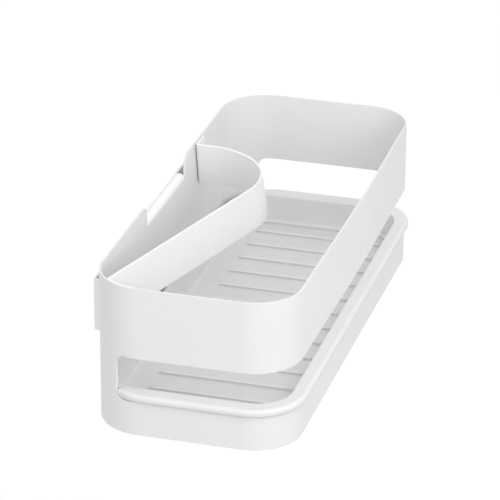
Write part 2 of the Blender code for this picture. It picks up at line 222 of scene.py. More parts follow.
def flat_strip():
    """The shell's blank, lying flat: x runs along the sheet and y is the height on it."""
    strip = bmesh.new()
    bmesh.ops.create_grid(strip, x_segments=1, y_segments=1, size=0.5)
    bmesh.ops.scale(strip, vec=(2 * HALF_STRIP, HEIGHT, 1.0), verts=strip.verts)
    bmesh.ops.translate(strip, vec=(0.0, HEIGHT / 2, 0.0), verts=strip.verts)
    score(strip, (1, 0, 0), (-SLOT_END, -CUTOUT_HALF, -FLAP_HALF, FLAP_HALF, CUTOUT_HALF, SLOT_END))
    score(strip, (0, 1, 0), (SLOT_BOTTOM, SLOT_TOP, HOOK_SEAT))
    cut_away = []
    for face in strip.faces:
        middle = face.calc_center_median()
        in_window = abs(middle.x) > SLOT_END and SLOT_BOTTOM < middle.y < SLOT_TOP
        in_cutout = abs(middle.x) < CUTOUT_HALF and middle.y > HOOK_SEAT
        if in_window or in_cutout:
            cut_away.append(face)
    bmesh.ops.delete(strip, geom=cut_away, context="FACES")
    root = [edge for edge in strip.edges if edge.is_boundary
            and all(abs(vert.co.y - HOOK_SEAT) < CLOSE and abs(vert.co.x) < FLAP_HALF + CLOSE
                    for vert in edge.verts)]
    flap = bmesh.ops.extrude_edge_only(strip, edges=root)["geom"]
    bmesh.ops.translate(strip, vec=(0.0, FLAP_END - HOOK_SEAT, 0.0),
                        verts=[item for item in flap if isinstance(item, bmesh.types.BMVert)])
    bmesh.ops.dissolve_limit(strip, angle_limit=SAME_PLANE, use_dissolve_boundaries=False,
                             verts=strip.verts, edges=strip.edges)
    return strip


def round_corners(strip, radius, segments, along, heights):
    """Round the outline's corners that lie at a distance along the sheet and at given heights."""
    corners = [vert for vert in strip.verts if abs(abs(vert.co.x) - along) < CLOSE
               and min(abs(vert.co.y - height) for height in heights) < CLOSE]
    bmesh.ops.bevel(strip, geom=corners, offset=radius, segments=segments, profile=0.5,
                    affect="VERTICES", material=-1)
    return len(corners)


blank = flat_strip()
window_corners = round_corners(blank, SLOT_RADIUS, CORNER_STEPS, SLOT_END, (SLOT_BOTTOM, SLOT_TOP))
cutout_corners = round_corners(blank, CUTOUT_RADIUS, CORNER_STEPS, CUTOUT_HALF, (HEIGHT,))
flap_corners = round_corners(blank, HOOK_CORNER, HOOK_CORNER_STEPS, FLAP_HALF, (FLAP_END,))
print("faces in the strip:", len(blank.faces),
      "corners rounded:", window_corners, cutout_corners, flap_corners)

# %% [markdown]
# ## Bending the strip into a shell
#
# A flat face can't bend, so the strip is scored again, every few degrees, wherever a bend will be.
# Each bend gets one more line just outside both of its ends: the straight runs then keep flat
# shading right up to the bend, as folded sheet does. After that every point moves from the flat
# strip to its place on the plan, and the flap rolls backwards over its root to become the hook. The
# band over the window springs out a little in the middle of the front, as a long thin band does.

# %% Bent shell
BEND_STEPS = 24
BEND_MARGIN = 1.0
HOOK_STEPS = 10
FRONT_BOW = 1.3
FRONT_STEPS = 10
SEAM_WELD = 0.001
SHELL_EDGE = 0.18
TO_ROOM, TO_WALL = -1, 1


def bend_lines(start, length):
    """Where to score for a bend that starts at a distance along the sheet."""
    inside = [start + length * step / BEND_STEPS for step in range(BEND_STEPS + 1)]
    return [start - BEND_MARGIN] + inside + [start + length + BEND_MARGIN]


def folded(height):
    """How far behind the back wall, and how high, a point of the flap lies once it is folded."""
    beyond = height - HOOK_SEAT
    if beyond <= 0:
        return 0.0, height
    if beyond <= HOOK_BEND_LENGTH:
        turn = math.pi * beyond / HOOK_BEND_LENGTH
        return HOOK_BEND * (1 - math.cos(turn)), HOOK_SEAT + HOOK_BEND * math.sin(turn)
    return 2 * HOOK_BEND, HOOK_SEAT - (beyond - HOOK_BEND_LENGTH)


def bow(distance, height):
    """How far the band over the window springs out of the flat front, most in its middle."""
    part, share = part_of_strip(abs(distance))
    if part != "front" or height < SLOT_TOP - CLOSE:
        return 0.0
    return FRONT_BOW * (1 - (1 - share) ** 2) ** 2


def turn_faces(sheet, way):
    """Make a sheet's faces agree, with the foremost one looking to the room or to the wall."""
    bmesh.ops.recalc_face_normals(sheet, faces=sheet.faces)
    foremost = min(sheet.faces, key=lambda face: face.calc_center_median().y)
    if foremost.normal.y * way < 0:
        bmesh.ops.reverse_faces(sheet, faces=sheet.faces)


lines = bend_lines(BACK_STRAIGHT, BACK_BEND) + bend_lines(FRONT_CORNER_START, FRONT_BEND)
lines += [FRONT_CORNER_END + FRONT_STRAIGHT * step / FRONT_STEPS for step in range(1, FRONT_STEPS)]
score(blank, (1, 0, 0), [side * line for side in (-1, 1) for line in lines] + [0.0])
hook_lines = [HOOK_SEAT + HOOK_BEND_LENGTH * step / HOOK_STEPS for step in range(HOOK_STEPS + 1)]
score(blank, (0, 1, 0), [HOOK_SEAT - BEND_MARGIN] + hook_lines + [hook_lines[-1] + BEND_MARGIN])
for vert in blank.verts:
    u, v, _ = vert.co
    place = shell_plan(u)
    behind, height = folded(v) if abs(u) < CUTOUT_HALF - HOOK_KERF / 2 else (0.0, v)
    vert.co = (place.x, place.y + behind - bow(u, v), SHELL_BOTTOM + height)
bmesh.ops.remove_doubles(blank, verts=blank.verts, dist=SEAM_WELD)
turn_faces(blank, TO_ROOM)
print("faces in the bent shell:", len(blank.faces))
shell = finished_piece("shell_of_bent_sheet", blank, "basket", "basket_shell")
give_thickness(shell, SHEET)
round_the_edges(shell, SHELL_EDGE)

# %% [markdown]
# ## The strap
#
# The strap is a narrower band of the same sheet. It leaves the rear corner at the near end, slants
# away from the back wall and bends round to it again, so that a wedge-shaped pocket lies between
# strap and wall. Its lower edge is shifted a little along the slant, which makes the bend lean. A
# surface between two curved lines does that: a grid has one row on the lower line and one on the
# upper line, and its other rows are shared out between them.

# %% Strap
STRAP_SHEET = 1.4
STRAP_HEIGHT = 28.0
STRAP_BELOW_RIM = 0.4
STRAP_TOP = SHELL_TOP - STRAP_BELOW_RIM
STRAP_OUTER_RADIUS = 45.0
STRAP_RADIUS = STRAP_OUTER_RADIUS - STRAP_SHEET
STRAP_BEND = Vector((14.6, SHELL_BACK - 10.5))
STRAP_LEAN = 6.2
STRAP_FOLD = 2.0
STRAP_TAB = 16.0
STRAP_EDGE = 0.15
CORNER_TAB = 42.0
CORNER_MIDDLE = 135.0
SHELL_TOUCH = 0.3
STRAP_ROWS = 4
TAB_STEPS, STRAP_BEND_STEPS, FIRST_FOLD_STEPS, LAST_FOLD_STEPS = 12, 48, 6, 8
FOLD_MARGIN = 0.8


def arc(centre, radius, start, end, steps):
    """Points along an arc between two angles in degrees."""
    points = []
    for step in range(steps + 1):
        angle = math.radians(start + (end - start) * step / steps)
        points.append(Vector((centre[0] + radius * math.cos(angle),
                              centre[1] + radius * math.sin(angle))))
    return points


def fold(before, corner, after, radius, steps):
    """Points of a rounded fold between two straight runs that meet in a corner."""
    back, onward = (before - corner).normalized(), (after - corner).normalized()
    half = back.angle(onward) / 2
    centre = corner + (back + onward).normalized() * (radius / math.sin(half))
    first = corner + back * (radius / math.tan(half)) - centre
    turn = first.angle_signed(corner + onward * (radius / math.tan(half)) - centre)
    return [centre + Matrix.Rotation(-turn * step / steps, 2) @ first for step in range(steps + 1)]


def run(start, end):
    """The two points just inside the ends of a straight run, which keep the run's shading flat."""
    way = (end - start).normalized()
    return [start + way * FOLD_MARGIN, end - way * FOLD_MARGIN]


def strap_line(lean):
    """Plan of the strap at one height: corner tab, slanting leg, bend, short leg and wall tab."""
    tab = arc((-BACK_STRAIGHT, SHELL_BACK - BACK_RADIUS), BACK_RADIUS - SHEET - SHELL_TOUCH,
              CORNER_MIDDLE + CORNER_TAB, CORNER_MIDDLE, TAB_STEPS)
    to_bend = STRAP_BEND - tab[-1]
    slant = math.asin(STRAP_RADIUS / to_bend.length) - math.atan2(to_bend.y, to_bend.x)
    centre = STRAP_BEND + Vector((math.cos(slant), -math.sin(slant))) * lean
    bend = arc(centre, STRAP_RADIUS, 270 - math.degrees(slant), 360, STRAP_BEND_STEPS)
    wall = SHELL_BACK - SHEET - SHELL_TOUCH
    corner = Vector((centre.x + STRAP_RADIUS, wall))
    end = Vector((STRAP_BEND.x + STRAP_RADIUS + STRAP_TAB, wall))
    first_fold = fold(tab[-2], tab[-1], bend[0], STRAP_FOLD, FIRST_FOLD_STEPS)
    last_fold = fold(bend[-1], corner, end, STRAP_FOLD, LAST_FOLD_STEPS)
    return (tab[:-1] + first_fold + run(first_fold[-1], bend[0]) + bend
            + run(bend[-1], last_fold[0]) + last_fold + run(last_fold[-1], end) + [end])


lower_line, upper_line = strap_line(STRAP_LEAN), strap_line(0.0)
last_column = len(lower_line) - 1
band = bmesh.new()
bmesh.ops.create_grid(band, x_segments=last_column, y_segments=STRAP_ROWS, size=0.5)
for vert in band.verts:
    column = round((vert.co.x + 0.5) * last_column)
    rise = vert.co.y + 0.5
    place = lower_line[column].lerp(upper_line[column], rise)
    vert.co = (place.x, place.y, STRAP_TOP - STRAP_HEIGHT * (1 - rise))
turn_faces(band, TO_WALL)
print("the strap has", len(band.verts), "points in", last_column + 1, "columns")
strap = finished_piece("strap_of_bent_sheet", band, "basket", "bottle_strap")
give_thickness(strap, STRAP_SHEET)
round_the_edges(strap, STRAP_EDGE)

# %% [markdown]
# ## The drip tray: which columns it needs
#
# The tray is moulded in white plastic. Its rim reaches out through the window and lies on the
# window's lower edge as a rounded bead, at the front and at both ends; along the wall there is no
# bead. One skin can show all of that. It is a stack of rings with the same number of points, and
# the points are counted in columns that run round the tray, close together where the plan bends
# and closer still where the bead ends.

# %% Columns of the tray
END_GAP = 0.65
BEAD_END = SLOT_END + END_GAP
BEAD_END_STEPS = (0.0, 0.1, 0.3, 0.6, 1.0, 1.5, 2.1, 2.8, 3.5, 4.3, 5.2)
FIRST_COLUMN = 12.0
BACK, BEAD = "back", "bead"


def columns_up_to(kind, start, *stops):
    """Columns after a start, in equal steps up to each stop, given as a place and its steps."""
    columns = []
    for stop, steps in stops:
        columns += [(start + (stop - start) * step / steps, kind) for step in range(1, steps + 1)]
        start = stop
    return columns


near_columns = [(FIRST_COLUMN, BACK)]
near_columns += columns_up_to(BACK, FIRST_COLUMN, (BACK_STRAIGHT - BEND_MARGIN, 4),
                              (BACK_STRAIGHT, 1), (BEAD_END, 16))
near_columns += [(BEAD_END + step, BEAD) for step in BEAD_END_STEPS]
near_columns += columns_up_to(BEAD, BEAD_END + BEAD_END_STEPS[-1], (REAR_CORNER_END, 5),
                              (REAR_CORNER_END + BEND_MARGIN, 1),
                              (FRONT_CORNER_START - BEND_MARGIN, 3), (FRONT_CORNER_START, 1),
                              (FRONT_CORNER_END, BEND_STEPS), (FRONT_CORNER_END + BEND_MARGIN, 1),
                              (HALF_STRIP - FIRST_COLUMN, 4))
tray_columns = [(-place, kind) for place, kind in near_columns] + near_columns[::-1]
print("columns round the tray:", len(tray_columns))

# %% [markdown]
# ## The drip tray: its rings
#
# Each ring is one line of the tray's section, from the middle of the underside round the rim to the
# middle of the floor. The tray's own rings keep to its inner plan. The bead's rings keep to the
# shell's plan, so that they follow the window; there the bead is cut to the window's rounded lower
# corner, and at the wall its rings fold up into the plain edge of the flange.

# %% Rings of the tray
TRAY_END_INSET, TRAY_FRONT_INSET, TRAY_REAR_INSET = 9.0, 6.4, 6.1
TRAY_FRONT_RADIUS, TRAY_REAR_RADIUS = 20.5, 23.0
TRAY_WALL = 2.0
TRAY_DEPTH = 19.9
WINDOW_SILL = SHELL_BOTTOM + SLOT_BOTTOM
SILL_GAP = 0.3
BEAD_HEIGHT = 5.1
BEAD_PROUD = 0.3
BEAD_BOTTOM = WINDOW_SILL + SILL_GAP
BEAD_TOP = BEAD_BOTTOM + BEAD_HEIGHT
FLANGE_TOP = BEAD_TOP - BEAD_PROUD
FLANGE_UNDER = FLANGE_TOP - TRAY_WALL
FLOOR_TOP = FLANGE_TOP - TRAY_DEPTH
FLOOR_UNDER = FLOOR_TOP - TRAY_WALL
FLANGE_END_GAP, FLANGE_WALL_GAP = 2.2, 1.3
BEAD_REACH = 2.6
BEAD_ROOT = -3.0
BEAD_EMERGES = 16.0
BEAD_STUB = 0.6


def tray_plan(distance, grow):
    """Point of the tray's inner plan, moved outwards, at a distance along the shell."""
    part, share = part_of_strip(abs(distance))
    place = rounded_plan(part, share, LENGTH / 2 - TRAY_END_INSET + grow,
                         SHELL_FRONT + TRAY_FRONT_INSET - grow, SHELL_BACK - TRAY_REAR_INSET + grow,
                         TRAY_FRONT_RADIUS + grow, TRAY_REAR_RADIUS + grow)
    return Vector((math.copysign(place.x, distance), place.y))


def flange_edge(distance, inset):
    """Point of the flange's plain edge, which lies farther in at the back than at the ends."""
    part, share = part_of_strip(abs(distance))
    facing_wall = {"back": 1.0, "rear corner": math.cos(math.radians(90 * share))}.get(part, 0.0)
    return shell_plan(distance, -FLANGE_END_GAP - FLANGE_WALL_GAP * facing_wall - inset)


def bead_point(distance, grow, height):
    """Point of the bead, cut to the window's rounded corner and flush with the shell at its end."""
    past = abs(distance) - SLOT_END
    if past < SLOT_RADIUS:
        gap = SILL_GAP + (END_GAP - SILL_GAP) * (1 - past / SLOT_RADIUS)
        rest = max(0.0, (SLOT_RADIUS - gap) ** 2 - (SLOT_RADIUS - past) ** 2)
        lowest = min(WINDOW_SILL + SLOT_RADIUS - math.sqrt(rest), BEAD_TOP - BEAD_STUB)
        height = max(height, lowest)
    if grow > BEAD_ROOT:
        share = min(1.0, max(0.0, (abs(distance) - BEAD_END) / BEAD_EMERGES))
        drawn_in = BEAD_REACH * (1 - share * share * (3 - 2 * share))
        grow -= drawn_in * (grow - BEAD_ROOT) / (BEAD_REACH - BEAD_ROOT)
    place = shell_plan(distance, grow)
    return place.x, place.y, height


def tray_ring(grow, height):
    """A ring on the tray's own plan."""
    def place(distance, kind):
        point = tray_plan(distance, grow)
        return point.x, point.y, height
    return place


def bead_ring(grow, height, inset, plain_height):
    """A ring of the bead, which becomes part of the flange's plain edge along the wall."""
    def place(distance, kind):
        if kind == BEAD:
            return bead_point(distance, grow, height)
        point = flange_edge(distance, inset)
        return point.x, point.y, plain_height
    return place


def quarter(centre, radius, start, end, steps):
    """Section points of a small rounding as (outwards, height) pairs."""
    return [(point.x, point.y) for point in arc(centre, radius, start, end, steps)]


print("the tray's floor lies", round(BEAD_TOP - FLOOR_TOP, 1), "mm below the top of its bead")

# %% [markdown]
# ## The drip tray: its section
#
# A moulded part is told by its section: walls with a little draft, so that it leaves the mould, and
# a rounding at each change of direction. The section is written as on a drawing, in pairs of how
# far outwards and how high a point is. The bead and the flange's plain edge have the same number of
# points, because one turns into the other.

# %% Section of the tray
TRAY_DRAFT = 0.8
TRAY_FILLET = 2.0
FILLET_STEPS, NECK_STEPS, BEAD_STEPS = 6, 4, 8
HEEL = TRAY_WALL - TRAY_DRAFT
NECK, NECK_FILLET = 1.9, 1.0
LIP_RADIUS, LIP_DRAFT = 1.0, 0.06
ROOT_CHAMFER = 0.3
BEAD_UNDERSIDE = -1.0
BEAD_LOWER_RADIUS, BEAD_UPPER_RADIUS = 2.4, 2.0
BEAD_SLOPE = ((0.1, 0.02), (-0.6, 0.08), (-1.3, 0.18), (-2.0, 0.26), (-2.8, BEAD_PROUD),
              (-3.4, BEAD_PROUD))
PLAIN_RADIUS, PLAIN_UNDER, PLAIN_OVER = 0.5, 0.8, 1.2

outside = [(HEEL - TRAY_FILLET - BEND_MARGIN, FLOOR_UNDER)]
outside += quarter((HEEL - TRAY_FILLET, FLOOR_UNDER + TRAY_FILLET), TRAY_FILLET, -90, 0,
                   FILLET_STEPS)
outside += [(NECK, FLANGE_UNDER - 1.5 * NECK_FILLET)]
outside += quarter((NECK + NECK_FILLET, FLANGE_UNDER - NECK_FILLET), NECK_FILLET, 180, 90,
                   NECK_STEPS)

bead = [(BEAD_ROOT, FLANGE_UNDER), (BEAD_ROOT, FLANGE_UNDER - NECK_FILLET / 2),
        (BEAD_ROOT, BEAD_BOTTOM + ROOT_CHAMFER), (BEAD_ROOT + ROOT_CHAMFER, BEAD_BOTTOM),
        (BEAD_UNDERSIDE, BEAD_BOTTOM)]
bead += quarter((BEAD_REACH - BEAD_LOWER_RADIUS, BEAD_BOTTOM + BEAD_LOWER_RADIUS),
                BEAD_LOWER_RADIUS, -90, 0, BEAD_STEPS)
bead += quarter((BEAD_REACH - BEAD_UPPER_RADIUS, BEAD_TOP - BEAD_UPPER_RADIUS),
                BEAD_UPPER_RADIUS, 0, 90, BEAD_STEPS)
bead += [(out, BEAD_TOP - drop) for out, drop in BEAD_SLOPE]

plain = [(PLAIN_UNDER, FLANGE_UNDER)]
plain += quarter((-PLAIN_RADIUS, FLANGE_UNDER + PLAIN_RADIUS), PLAIN_RADIUS, -90, 0, BEAD_STEPS)
plain += quarter((-PLAIN_RADIUS, FLANGE_TOP - PLAIN_RADIUS), PLAIN_RADIUS, 0, 90,
                 len(bead) - len(plain) - 2)
plain = [(abs(out), height) for out, height in plain] + [(PLAIN_OVER, FLANGE_TOP)]

inside = quarter((LIP_RADIUS, FLANGE_TOP - LIP_RADIUS), LIP_RADIUS, 90, 180, FILLET_STEPS)
inside += [(-LIP_DRAFT, FLANGE_TOP - 2 * LIP_RADIUS)]
inside += quarter((-TRAY_DRAFT - TRAY_FILLET, FLOOR_TOP + TRAY_FILLET), TRAY_FILLET, 0, -90,
                  FILLET_STEPS)
inside += [(-TRAY_DRAFT - TRAY_FILLET - BEND_MARGIN, FLOOR_TOP)]

rings = [tray_ring(*point) for point in outside]
rings += [bead_ring(*point, *edge) for point, edge in zip(bead, plain, strict=True)]
rings += [tray_ring(*point) for point in inside]
print("rings from the underside to the floor:", len(rings))

# %% [markdown]
# ## The drip tray: skin and ribs
#
# The first ring is a circle of points that are put in place one by one. Each following ring is
# extruded from the one before, and a new point finds its column by the edge that ties it to the old
# point. Both ends are closed with a single flat face. The ribs are then scored into the floor's
# face, inset for their sloping sides and lifted, so that tray and ribs stay one skin.

# %% Tray with its ribs
RIB_COUNT = 13
RIB_PITCH = 20.9
RIB_HALF = 1.2
RIB_HEIGHT = 2.0
RIB_SLOPE = 0.6
RIB_END_RUN = 3.0
RIB_REAR = -29.9
RIB_FRONT = -114.3
RIB_ROUNDING = 0.35
TRAY_WELD = 0.002


def skin_of_rings(rings, columns):
    """Extrude a closed skin through all the rings, and also return the face on the last ring."""
    skin = bmesh.new()
    circle = bmesh.ops.create_circle(skin, segments=len(columns), radius=1.0)["verts"]
    column_of = {vert: index for index, vert in enumerate(circle)}
    for vert, index in column_of.items():
        vert.co = rings[0](*columns[index])
    edges = list(skin.edges)
    bmesh.ops.holes_fill(skin, edges=edges, sides=0)
    for ring in rings[1:]:
        raised = bmesh.ops.extrude_edge_only(skin, edges=edges)["geom"]
        new_column = {}
        for vert in (item for item in raised if isinstance(item, bmesh.types.BMVert)):
            tied = next(edge.other_vert(vert) for edge in vert.link_edges
                        if edge.other_vert(vert) in column_of)
            new_column[vert] = column_of[tied]
        for vert, index in new_column.items():
            vert.co = ring(*columns[index])
        edges = [item for item in raised if isinstance(item, bmesh.types.BMEdge)
                 and all(vert in new_column for vert in item.verts)]
        column_of = new_column
    cap = bmesh.ops.contextual_create(skin, geom=edges)["faces"]
    return skin, cap[0]


def add_ribs(skin, floor_face):
    """Score the ribs' outlines into the floor and lift their inset tops."""
    rib_places = [RIB_PITCH * (index - RIB_COUNT // 2) for index in range(RIB_COUNT)]
    cuts = [((1, 0, 0), place + side * RIB_HALF) for place in rib_places for side in (-1, 1)]
    cuts += [((0, 1, 0), RIB_REAR), ((0, 1, 0), RIB_FRONT)]
    floor = [floor_face]
    for along, place in cuts:
        parts = set(floor) | {edge for face in floor for edge in face.edges}
        parts |= {vert for face in floor for vert in face.verts}
        scored = bmesh.ops.bisect_plane(skin, geom=list(parts), plane_co=Vector(along) * place,
                                        plane_no=along, dist=ON_THE_LINE)["geom"]
        floor = [item for item in scored if isinstance(item, bmesh.types.BMFace)]
    ribs = []
    for face in floor:
        middle = face.calc_center_median()
        nearest = round(middle.x / RIB_PITCH) * RIB_PITCH
        if abs(middle.x - nearest) < RIB_HALF and RIB_FRONT < middle.y < RIB_REAR:
            ribs.append(face)
    bmesh.ops.inset_individual(skin, faces=ribs, thickness=RIB_SLOPE, use_even_offset=True)
    for face in ribs:
        middle = face.calc_center_median()
        for vert in face.verts:
            vert.co.z += RIB_HEIGHT
            vert.co.y -= math.copysign(RIB_END_RUN - RIB_SLOPE, vert.co.y - middle.y)
    top_edges = {edge for face in ribs for edge in face.edges}
    slopes = {edge for face in ribs for vert in face.verts for edge in vert.link_edges}
    bmesh.ops.bevel(skin, geom=list(top_edges | slopes), offset=RIB_ROUNDING,
                    segments=ROUNDING_STEPS, profile=0.5, affect="EDGES", material=-1)
    return len(ribs)


tray_skin, floor_face = skin_of_rings(rings, tray_columns)
rib_count = add_ribs(tray_skin, floor_face)
bmesh.ops.remove_doubles(tray_skin, verts=tray_skin.verts, dist=TRAY_WELD)
bmesh.ops.recalc_face_normals(tray_skin, faces=tray_skin.faces)
print("ribs:", rib_count, "faces in the tray:", len(tray_skin.faces),
      "open edges:", sum(not edge.is_manifold for edge in tray_skin.edges))
tray = finished_piece("drip_tray_moulding", tray_skin, "tray", "drip_tray")

# %% [markdown]
# ## Rail and pads
#
# The rail is a flat channel, open at the top, that the hook drops into. It is a block with rounded
# upright edges whose top face is inset and pushed down. The foam pads behind it are thin blocks
# that are rounded at their corners.

# %% Rail and pads
RAIL_LENGTH = 230.0
RAIL_HEIGHT = 32.4
RAIL_WALL = 1.4
RAIL_BACK = -1.3
RAIL_DEPTH = 6.9
RAIL_CORNER = 1.6
RAIL_EDGE = 0.25
PAD_SIZE = (54.0, 1.0, 25.0)
PAD_CORNER = 4.0
PAD_PITCH = 80.0
PAD_EDGE = 0.2
BLOCK_STEPS = 8
PARALLEL = 0.99


def rounded_block(size, centre, along, radius):
    """A block whose edges along one direction are rounded."""
    block = bmesh.new()
    bmesh.ops.create_cube(block, size=1.0)
    bmesh.ops.scale(block, vec=size, verts=block.verts)
    bmesh.ops.translate(block, vec=centre, verts=block.verts)
    chosen = []
    for edge in block.edges:
        way = (edge.verts[1].co - edge.verts[0].co).normalized()
        if abs(way.dot(Vector(along))) > PARALLEL:
            chosen.append(edge)
    bmesh.ops.bevel(block, geom=chosen, offset=radius, segments=BLOCK_STEPS, profile=0.5,
                    affect="EDGES", material=-1)
    return block


channel = rounded_block((RAIL_LENGTH, RAIL_DEPTH, RAIL_HEIGHT),
                        (0.0, RAIL_BACK - RAIL_DEPTH / 2, 0.0), (0, 0, 1), RAIL_CORNER)
mouth = max(channel.faces, key=lambda face: face.calc_center_median().z)
bmesh.ops.inset_region(channel, faces=[mouth], thickness=RAIL_WALL, use_even_offset=True)
pocket = bmesh.ops.extrude_discrete_faces(channel, faces=[mouth])["faces"][0]
bmesh.ops.translate(channel, vec=(0.0, 0.0, RAIL_WALL - RAIL_HEIGHT), verts=pocket.verts)
bmesh.ops.recalc_face_normals(channel, faces=channel.faces)
rail = finished_piece("rail_channel", channel, "rail", "wall_rail")
round_the_edges(rail, RAIL_EDGE)

pads = []
for name, x in (("left", -PAD_PITCH), ("centre", 0.0), ("right", PAD_PITCH)):
    foam = rounded_block(PAD_SIZE, (x, -PAD_SIZE[1] / 2, 0.0), (0, 1, 0), PAD_CORNER)
    pad = finished_piece("foam_pad_" + name, foam, "rail", "adhesive_pad_" + name)
    round_the_edges(pad, PAD_EDGE)
    pads.append(pad)
print("pads:", len(pads))

# %% [markdown]
# ## Finishes
#
# The finishes are written as small sums. A helper class wraps one socket of the material's node
# tree, so that plus, minus and times make the Math nodes, and one method adds any other node. Every
# finish reads Object coordinates, because all the pieces keep their place in the frame and the
# grain then has its real size. All of them are neutral, so a colour is told by one number.

# %% Writing materials as sums
CLOUD_EDGE = (0.3, 0.7)


class Value:
    """A number that varies over the surface, held as an output socket of a node."""

    def __init__(self, tree, socket):
        self.tree, self.socket = tree, socket

    def node(self, kind, output=0, settings=(), **inputs):
        """Add a node with settings and inputs, and return one of its outputs."""
        made = self.tree.nodes.new(kind)
        for name, setting in dict(settings).items():
            setattr(made, name, setting)
        for name, given in inputs.items():
            socket = made.inputs[int(name[1:]) if name[0] == "_" else name.replace("_", " ")]
            if isinstance(given, Value):
                self.tree.links.new(given.socket, socket)
            else:
                socket.default_value = given
        return Value(self.tree, made.outputs[output])

    def sum_of(self, operation, first, second):
        """A Math node with two inputs."""
        return self.node("ShaderNodeMath", settings={"operation": operation}, _0=first, _1=second)

    def __add__(self, other):
        return self.sum_of("ADD", self, other)

    def __radd__(self, other):
        return self.sum_of("ADD", other, self)

    def __sub__(self, other):
        return self.sum_of("SUBTRACT", self, other)

    def __rsub__(self, other):
        return self.sum_of("SUBTRACT", other, self)

    def __mul__(self, other):
        return self.sum_of("MULTIPLY", self, other)

    def __rmul__(self, other):
        return self.sum_of("MULTIPLY", other, self)

    def between(self, low, high):
        """Goes smoothly from 0 at low to 1 at high."""
        return self.node("ShaderNodeMapRange", settings={"interpolation_type": "SMOOTHSTEP"},
                         _0=self, _1=low, _2=high)

    def between_mm(self, low, high):
        """The same for a coordinate, with its limits in millimetres."""
        return self.between(low * MM, high * MM)

    def blend(self, first, second):
        """Mix two colours by this value."""
        return self.node("ShaderNodeMix", output=2, settings={"data_type": "RGBA"},
                         _0=self, _6=first, _7=second)


def new_finish(name):
    """A material with its shader, and the place on the object as a starting value."""
    finish = bpy.data.materials.new(name)
    finish.use_nodes = True
    tree = finish.node_tree
    coordinates = tree.nodes.new("ShaderNodeTexCoord")
    return finish, tree.nodes["Principled BSDF"], Value(tree, coordinates.outputs["Object"])


def grey(level):
    """A neutral colour."""
    return level, level, level, 1.0


def coordinate(place, axis):
    """How far along X, Y or Z a place is."""
    return place.node("ShaderNodeSeparateXYZ", output=axis, _0=place)


def per_metre(size_mm):
    """The scale of a pattern whose cells are size_mm wide."""
    return 1000.0 / size_mm


def noise(place, size_mm, detail=2.0):
    """Noise whose blobs are about size_mm wide."""
    return place.node("ShaderNodeTexNoise", Vector=place, Scale=per_metre(size_mm), Detail=detail)


def clouds(cover, darker, lighter):
    """Two close greys in soft clouds."""
    return cover.between(*CLOUD_EDGE).blend(grey(darker), grey(lighter))


def bumps(height, depth_mm):
    """A normal for a surface that rises and falls by depth_mm where height goes from 0 to 1."""
    return height.node("ShaderNodeBump", Height=height, Distance=depth_mm * MM, Strength=1.0)


def drive(shader, name, value):
    """Let a value drive one of the shader's inputs."""
    value.tree.links.new(value.socket, shader.inputs[name])


print("blobs of 1 mm take a noise scale of", per_metre(1.0))

# %% [markdown]
# ## Powder coat
# Powder coat is paint that melts into an even skin. It never levels out quite flat: the light
# breaks on shallow waves a millimetre or so across. The colour stays nearly even, so a very faint
# cloudiness is enough. The hook's fold is painted a little whiter, a painted highlight where the
# light falls full on its top. The powder flies to whatever stands out, so the hook's fold gets a
# fuller
# coat, and is a little whiter.

# %% Powder coat
COAT_ROUGHNESS = 0.42
PATCHINESS, GRAININESS = 0.10, 0.06
CLOUD_SIZE, PATCH_SIZE, WAVE_SIZE, GRAIN_SIZE = 35.0, 6.0, 1.3, 0.35
CLOUD_DARKENS = 0.015
GRAIN_SHARE, COAT_DEPTH = 0.35, 0.02
SHELL_WHITE, STRAP_WHITE_PAINTED_LIGHTER, RAIL_WHITE_PAINTED_LIGHTER, HOOK_HIGHLIGHT_WHITE = 0.775, 0.865, 0.89, 0.89
FOLD_RISE = (0.3, 0.8)
FOLD_REACH = (6.0, 3.0)


# Painted highlight: the hook's fold is painted whiter where the light falls full on it.
def hook_highlight_place(place):
    """1 on the hook's fold, 0 on the rest of the shell."""
    along, across, height = (coordinate(place, axis) for axis in "XYZ")
    seat = SHELL_BOTTOM + HOOK_SEAT
    return (height.between_mm(seat + FOLD_RISE[0], seat + FOLD_RISE[1])
            * across.between_mm(SHELL_BACK - FOLD_REACH[0], SHELL_BACK - FOLD_REACH[1])
            * (along * along).between((CUTOUT_HALF * MM) ** 2, (FLAP_HALF * MM) ** 2))


def powder_coat(name, white, highlight_place=None):
    """White coat with shallow waves, painted whiter as a highlight where a function of the place
    gives 1.
    """
    finish, shader, place = new_finish(name)
    patches = noise(place, PATCH_SIZE, detail=3.0)
    waves = noise(place, WAVE_SIZE)
    grain = noise(place, GRAIN_SIZE, detail=1.0)
    colour = clouds(noise(place, CLOUD_SIZE, detail=3.0), white - CLOUD_DARKENS, white)
    # Painted highlight: the coat turns whiter where the given mask gives 1.
    if highlight_place:
        colour = highlight_place(place).blend(colour, grey(HOOK_HIGHLIGHT_WHITE))
    drive(shader, "Base Color", colour)
    drive(shader, "Roughness",
          COAT_ROUGHNESS + PATCHINESS * (patches - 0.5) + GRAININESS * (grain - 0.5))
    drive(shader, "Normal", bumps(waves + GRAIN_SHARE * grain, COAT_DEPTH))
    return finish


shell_finish = powder_coat("coat_of_shell", SHELL_WHITE, hook_highlight_place)
# The strap is the same sheet and coat as the shell, painted whiter: painted light for the brighter
# light on its face.
strap_finish = powder_coat("coat_of_strap", STRAP_WHITE_PAINTED_LIGHTER)
# The rail's coat is painted whiter than the shell's: painted light for the light that its rounded
# end catches.
rail_finish = powder_coat("coat_of_rail", RAIL_WHITE_PAINTED_LIGHTER)
shell.data.materials.append(shell_finish)
strap.data.materials.append(strap_finish)
rail.data.materials.append(rail_finish)
print("coats:", [finish.name for finish in (shell_finish, strap_finish, rail_finish)])
